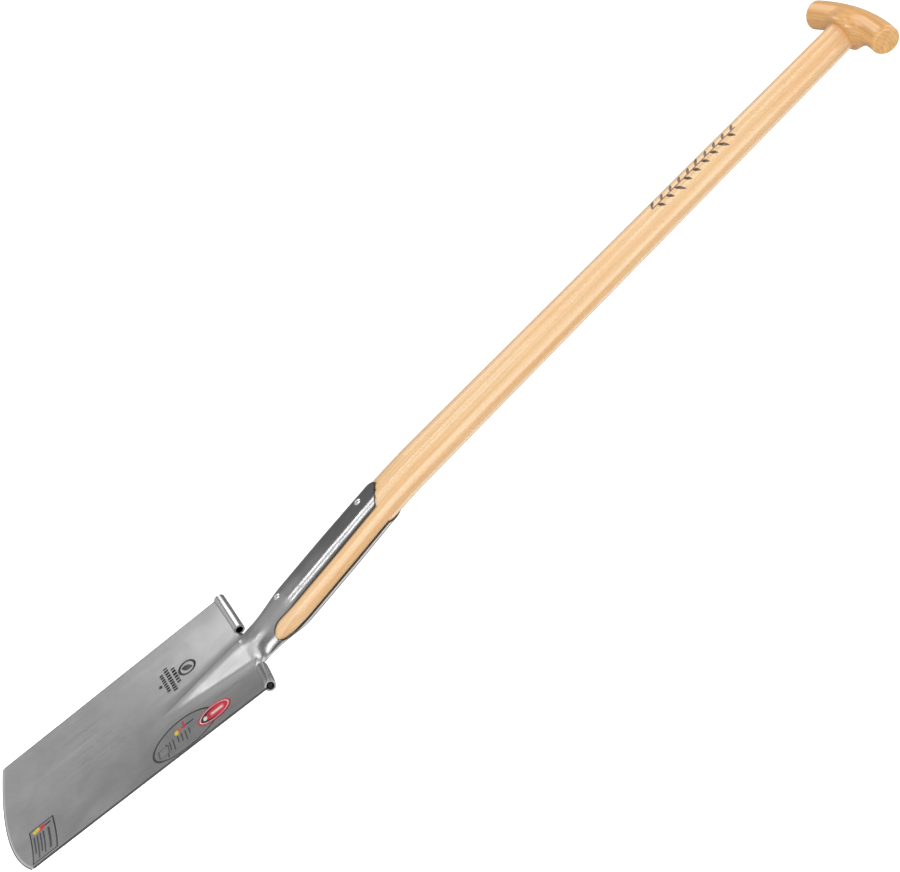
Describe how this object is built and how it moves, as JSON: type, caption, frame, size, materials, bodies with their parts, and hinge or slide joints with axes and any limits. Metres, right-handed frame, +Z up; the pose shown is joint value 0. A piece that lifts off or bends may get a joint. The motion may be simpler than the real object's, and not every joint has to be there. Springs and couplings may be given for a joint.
{
  "type": "garden spade",
  "caption": "Long-handled garden spade: dished steel blade with rolled treads, riveted front and back straps, bent ash shaft and arched T-grip.",
  "frame": {"origin": "the point where the spade hangs: on the shaft's axis, level with the underside of the T-grip's arms", "axes": "+Z up along the straight upper shaft, -Y to the front (the hollow face of the blade), X across the blade and along the T-grip"},
  "size_m": [0.1892, 0.0826, 1.2193],
  "materials": {
    "brushed_steel": "satin brushed stainless",
    "polished_steel": "bright rolled stainless",
    "weld_steel": "ground weld bead",
    "rivet_steel": "bright rivet",
    "pin_steel": "plain steel",
    "ash_shaft": "clear-lacquered ash",
    "ash_grip": "clear-lacquered ash",
    "clear_film": "printed film",
    "badge_print": "printed film",
    "grey_film": "printed film"
  },
  "bodies": {
    "root": {"blade": "brushed_steel", "back_strap": "brushed_steel", "neck_welds": "weld_steel", "tongue_weld": "weld_steel", "left_tread": "polished_steel", "right_tread": "polished_steel", "shaft": "ash_shaft", "t_grip": "ash_grip", "grip_pin": "pin_steel", "upper_rivet_pin": "rivet_steel", "lower_rivet_pin": "rivet_steel", "oval_label": "clear_film", "badge_label": "badge_print", "corner_label": "grey_film"}
  },
  "joints": []
}
